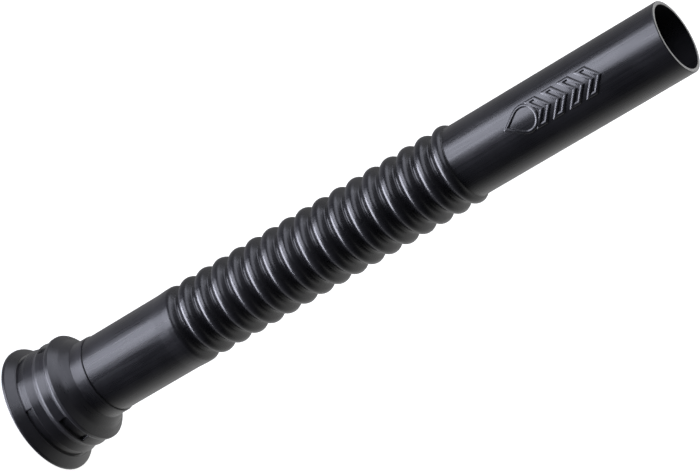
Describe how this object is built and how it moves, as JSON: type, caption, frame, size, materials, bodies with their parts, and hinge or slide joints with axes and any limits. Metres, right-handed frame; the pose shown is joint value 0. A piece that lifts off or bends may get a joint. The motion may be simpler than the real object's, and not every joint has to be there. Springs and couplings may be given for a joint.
{
  "type": "flexible pouring spout",
  "caption": "Flexible pouring spout for a fuel can: ribbed screw collar, plain sleeve, corrugated bending length and a straight round pouring tube.",
  "frame": {"origin": "centre of the collar's bottom face", "axes": "+Z along the spout from the can to the mouth; the raised flow mark faces -Y, turned 9 degrees towards -X"},
  "size_m": [0.0444, 0.0444, 0.2588],
  "materials": {
    "spout": "satin blow-moulded black polyethylene",
    "collar": "satin injection-moulded black plastic",
    "seal": "matt black nitrile rubber"
  },
  "bodies": {
    "collar": {"screw_collar": "collar"},
    "sleeve": {"lower_sleeve": "spout", "gasket": "seal"},
    "web_01": {"flex_web_01": "spout"},
    "crest_01": {"corrugation_01": "spout"},
    "web_02": {"flex_web_02": "spout"},
    "crest_02": {"corrugation_02": "spout"},
    "web_03": {"flex_web_03": "spout"},
    "crest_03": {"corrugation_03": "spout"},
    "web_04": {"flex_web_04": "spout"},
    "crest_04": {"corrugation_04": "spout"},
    "web_05": {"flex_web_05": "spout"},
    "crest_05": {"corrugation_05": "spout"},
    "web_06": {"flex_web_06": "spout"},
    "crest_06": {"corrugation_06": "spout"},
    "web_07": {"flex_web_07": "spout"},
    "crest_07": {"corrugation_07": "spout"},
    "web_08": {"flex_web_08": "spout"},
    "crest_08": {"corrugation_08": "spout"},
    "web_09": {"flex_web_09": "spout"},
    "crest_09": {"corrugation_09": "spout"},
    "web_10": {"flex_web_10": "spout"},
    "crest_10": {"corrugation_10": "spout"},
    "web_11": {"flex_web_11": "spout"},
    "crest_11": {"corrugation_11": "spout"},
    "web_12": {"flex_web_12": "spout"},
    "crest_12": {"corrugation_12": "spout"},
    "web_13": {"flex_web_13": "spout"},
    "crest_13": {"corrugation_13": "spout"},
    "web_14": {"flex_web_14": "spout"},
    "crest_14": {"corrugation_14": "spout"},
    "web_15": {"flex_web_15": "spout"},
    "crest_15": {"corrugation_15": "spout"},
    "web_16": {"flex_web_16": "spout"},
    "tube": {"corrugation_16": "spout", "pour_tube": "spout"}
  },
  "joints": [
    {"name": "collar_spin", "type": "hinge", "parent": "collar", "child": "sleeve", "pos_m": [0, 0, 0.0227], "axis": [0, 0, 1], "continuous": true},
    {"name": "bend_x_01", "type": "hinge", "parent": "sleeve", "child": "web_01", "pos_m": [0, 0, 0.06733], "axis": [1, 0, 0], "range_deg": [-5.62, 5.62], "stiffness_Nm_per_rad": 1.4, "deforming": ["flex_web_01"]},
    {"name": "bend_y_01", "type": "hinge", "parent": "web_01", "child": "crest_01", "pos_m": [0, 0, 0.06733], "axis": [0, 1, 0], "range_deg": [-5.62, 5.62], "stiffness_Nm_per_rad": 1.4},
    {"name": "bend_x_02", "type": "hinge", "parent": "crest_01", "child": "web_02", "pos_m": [0, 0, 0.07428], "axis": [1, 0, 0], "range_deg": [-5.62, 5.62], "stiffness_Nm_per_rad": 1.4, "deforming": ["flex_web_02"]},
    {"name": "bend_y_02", "type": "hinge", "parent": "web_02", "child": "crest_02", "pos_m": [0, 0, 0.07428], "axis": [0, 1, 0], "range_deg": [-5.62, 5.62], "stiffness_Nm_per_rad": 1.4},
    {"name": "bend_x_03", "type": "hinge", "parent": "crest_02", "child": "web_03", "pos_m": [0, 0, 0.08123], "axis": [1, 0, 0], "range_deg": [-5.62, 5.62], "stiffness_Nm_per_rad": 1.4, "deforming": ["flex_web_03"]},
    {"name": "bend_y_03", "type": "hinge", "parent": "web_03", "child": "crest_03", "pos_m": [0, 0, 0.08123], "axis": [0, 1, 0], "range_deg": [-5.62, 5.62], "stiffness_Nm_per_rad": 1.4},
    {"name": "bend_x_04", "type": "hinge", "parent": "crest_03", "child": "web_04", "pos_m": [0, 0, 0.08818], "axis": [1, 0, 0], "range_deg": [-5.62, 5.62], "stiffness_Nm_per_rad": 1.4, "deforming": ["flex_web_04"]},
    {"name": "bend_y_04", "type": "hinge", "parent": "web_04", "child": "crest_04", "pos_m": [0, 0, 0.08818], "axis": [0, 1, 0], "range_deg": [-5.62, 5.62], "stiffness_Nm_per_rad": 1.4},
    {"name": "bend_x_05", "type": "hinge", "parent": "crest_04", "child": "web_05", "pos_m": [0, 0, 0.09513], "axis": [1, 0, 0], "range_deg": [-5.62, 5.62], "stiffness_Nm_per_rad": 1.4, "deforming": ["flex_web_05"]},
    {"name": "bend_y_05", "type": "hinge", "parent": "web_05", "child": "crest_05", "pos_m": [0, 0, 0.09513], "axis": [0, 1, 0], "range_deg": [-5.62, 5.62], "stiffness_Nm_per_rad": 1.4},
    {"name": "bend_x_06", "type": "hinge", "parent": "crest_05", "child": "web_06", "pos_m": [0, 0, 0.10208], "axis": [1, 0, 0], "range_deg": [-5.62, 5.62], "stiffness_Nm_per_rad": 1.4, "deforming": ["flex_web_06"]},
    {"name": "bend_y_06", "type": "hinge", "parent": "web_06", "child": "crest_06", "pos_m": [0, 0, 0.10208], "axis": [0, 1, 0], "range_deg": [-5.62, 5.62], "stiffness_Nm_per_rad": 1.4},
    {"name": "bend_x_07", "type": "hinge", "parent": "crest_06", "child": "web_07", "pos_m": [0, 0, 0.10903], "axis": [1, 0, 0], "range_deg": [-5.62, 5.62], "stiffness_Nm_per_rad": 1.4, "deforming": ["flex_web_07"]},
    {"name": "bend_y_07", "type": "hinge", "parent": "web_07", "child": "crest_07", "pos_m": [0, 0, 0.10903], "axis": [0, 1, 0], "range_deg": [-5.62, 5.62], "stiffness_Nm_per_rad": 1.4},
    {"name": "bend_x_08", "type": "hinge", "parent": "crest_07", "child": "web_08", "pos_m": [0, 0, 0.11598], "axis": [1, 0, 0], "range_deg": [-5.62, 5.62], "stiffness_Nm_per_rad": 1.4, "deforming": ["flex_web_08"]},
    {"name": "bend_y_08", "type": "hinge", "parent": "web_08", "child": "crest_08", "pos_m": [0, 0, 0.11598], "axis": [0, 1, 0], "range_deg": [-5.62, 5.62], "stiffness_Nm_per_rad": 1.4},
    {"name": "bend_x_09", "type": "hinge", "parent": "crest_08", "child": "web_09", "pos_m": [0, 0, 0.12293], "axis": [1, 0, 0], "range_deg": [-5.62, 5.62], "stiffness_Nm_per_rad": 1.4, "deforming": ["flex_web_09"]},
    {"name": "bend_y_09", "type": "hinge", "parent": "web_09", "child": "crest_09", "pos_m": [0, 0, 0.12293], "axis": [0, 1, 0], "range_deg": [-5.62, 5.62], "stiffness_Nm_per_rad": 1.4},
    {"name": "bend_x_10", "type": "hinge", "parent": "crest_09", "child": "web_10", "pos_m": [0, 0, 0.12988], "axis": [1, 0, 0], "range_deg": [-5.62, 5.62], "stiffness_Nm_per_rad": 1.4, "deforming": ["flex_web_10"]},
    {"name": "bend_y_10", "type": "hinge", "parent": "web_10", "child": "crest_10", "pos_m": [0, 0, 0.12988], "axis": [0, 1, 0], "range_deg": [-5.62, 5.62], "stiffness_Nm_per_rad": 1.4},
    {"name": "bend_x_11", "type": "hinge", "parent": "crest_10", "child": "web_11", "pos_m": [0, 0, 0.13683], "axis": [1, 0, 0], "range_deg": [-5.62, 5.62], "stiffness_Nm_per_rad": 1.4, "deforming": ["flex_web_11"]},
    {"name": "bend_y_11", "type": "hinge", "parent": "web_11", "child": "crest_11", "pos_m": [0, 0, 0.13683], "axis": [0, 1, 0], "range_deg": [-5.62, 5.62], "stiffness_Nm_per_rad": 1.4},
    {"name": "bend_x_12", "type": "hinge", "parent": "crest_11", "child": "web_12", "pos_m": [0, 0, 0.14378], "axis": [1, 0, 0], "range_deg": [-5.62, 5.62], "stiffness_Nm_per_rad": 1.4, "deforming": ["flex_web_12"]},
    {"name": "bend_y_12", "type": "hinge", "parent": "web_12", "child": "crest_12", "pos_m": [0, 0, 0.14378], "axis": [0, 1, 0], "range_deg": [-5.62, 5.62], "stiffness_Nm_per_rad": 1.4},
    {"name": "bend_x_13", "type": "hinge", "parent": "crest_12", "child": "web_13", "pos_m": [0, 0, 0.15073], "axis": [1, 0, 0], "range_deg": [-5.62, 5.62], "stiffness_Nm_per_rad": 1.4, "deforming": ["flex_web_13"]},
    {"name": "bend_y_13", "type": "hinge", "parent": "web_13", "child": "crest_13", "pos_m": [0, 0, 0.15073], "axis": [0, 1, 0], "range_deg": [-5.62, 5.62], "stiffness_Nm_per_rad": 1.4},
    {"name": "bend_x_14", "type": "hinge", "parent": "crest_13", "child": "web_14", "pos_m": [0, 0, 0.15768], "axis": [1, 0, 0], "range_deg": [-5.62, 5.62], "stiffness_Nm_per_rad": 1.4, "deforming": ["flex_web_14"]},
    {"name": "bend_y_14", "type": "hinge", "parent": "web_14", "child": "crest_14", "pos_m": [0, 0, 0.15768], "axis": [0, 1, 0], "range_deg": [-5.62, 5.62], "stiffness_Nm_per_rad": 1.4},
    {"name": "bend_x_15", "type": "hinge", "parent": "crest_14", "child": "web_15", "pos_m": [0, 0, 0.16463], "axis": [1, 0, 0], "range_deg": [-5.62, 5.62], "stiffness_Nm_per_rad": 1.4, "deforming": ["flex_web_15"]},
    {"name": "bend_y_15", "type": "hinge", "parent": "web_15", "child": "crest_15", "pos_m": [0, 0, 0.16463], "axis": [0, 1, 0], "range_deg": [-5.62, 5.62], "stiffness_Nm_per_rad": 1.4},
    {"name": "bend_x_16", "type": "hinge", "parent": "crest_15", "child": "web_16", "pos_m": [0, 0, 0.17158], "axis": [1, 0, 0], "range_deg": [-5.62, 5.62], "stiffness_Nm_per_rad": 1.4, "deforming": ["flex_web_16"]},
    {"name": "bend_y_16", "type": "hinge", "parent": "web_16", "child": "tube", "pos_m": [0, 0, 0.17158], "axis": [0, 1, 0], "range_deg": [-5.62, 5.62], "stiffness_Nm_per_rad": 1.4}
  ],
  "couplings": [
    {"joint": "bend_x_02", "follows": "bend_x_01", "ratio": 1},
    {"joint": "bend_y_02", "follows": "bend_y_01", "ratio": 1},
    {"joint": "bend_x_03", "follows": "bend_x_01", "ratio": 1},
    {"joint": "bend_y_03", "follows": "bend_y_01", "ratio": 1},
    {"joint": "bend_x_04", "follows": "bend_x_01", "ratio": 1},
    {"joint": "bend_y_04", "follows": "bend_y_01", "ratio": 1},
    {"joint": "bend_x_05", "follows": "bend_x_01", "ratio": 1},
    {"joint": "bend_y_05", "follows": "bend_y_01", "ratio": 1},
    {"joint": "bend_x_06", "follows": "bend_x_01", "ratio": 1},
    {"joint": "bend_y_06", "follows": "bend_y_01", "ratio": 1},
    {"joint": "bend_x_07", "follows": "bend_x_01", "ratio": 1},
    {"joint": "bend_y_07", "follows": "bend_y_01", "ratio": 1},
    {"joint": "bend_x_08", "follows": "bend_x_01", "ratio": 1},
    {"joint": "bend_y_08", "follows": "bend_y_01", "ratio": 1},
    {"joint": "bend_x_09", "follows": "bend_x_01", "ratio": 1},
    {"joint": "bend_y_09", "follows": "bend_y_01", "ratio": 1},
    {"joint": "bend_x_10", "follows": "bend_x_01", "ratio": 1},
    {"joint": "bend_y_10", "follows": "bend_y_01", "ratio": 1},
    {"joint": "bend_x_11", "follows": "bend_x_01", "ratio": 1},
    {"joint": "bend_y_11", "follows": "bend_y_01", "ratio": 1},
    {"joint": "bend_x_12", "follows": "bend_x_01", "ratio": 1},
    {"joint": "bend_y_12", "follows": "bend_y_01", "ratio": 1},
    {"joint": "bend_x_13", "follows": "bend_x_01", "ratio": 1},
    {"joint": "bend_y_13", "follows": "bend_y_01", "ratio": 1},
    {"joint": "bend_x_14", "follows": "bend_x_01", "ratio": 1},
    {"joint": "bend_y_14", "follows": "bend_y_01", "ratio": 1},
    {"joint": "bend_x_15", "follows": "bend_x_01", "ratio": 1},
    {"joint": "bend_y_15", "follows": "bend_y_01", "ratio": 1},
    {"joint": "bend_x_16", "follows": "bend_x_01", "ratio": 1},
    {"joint": "bend_y_16", "follows": "bend_y_01", "ratio": 1}
  ]
}
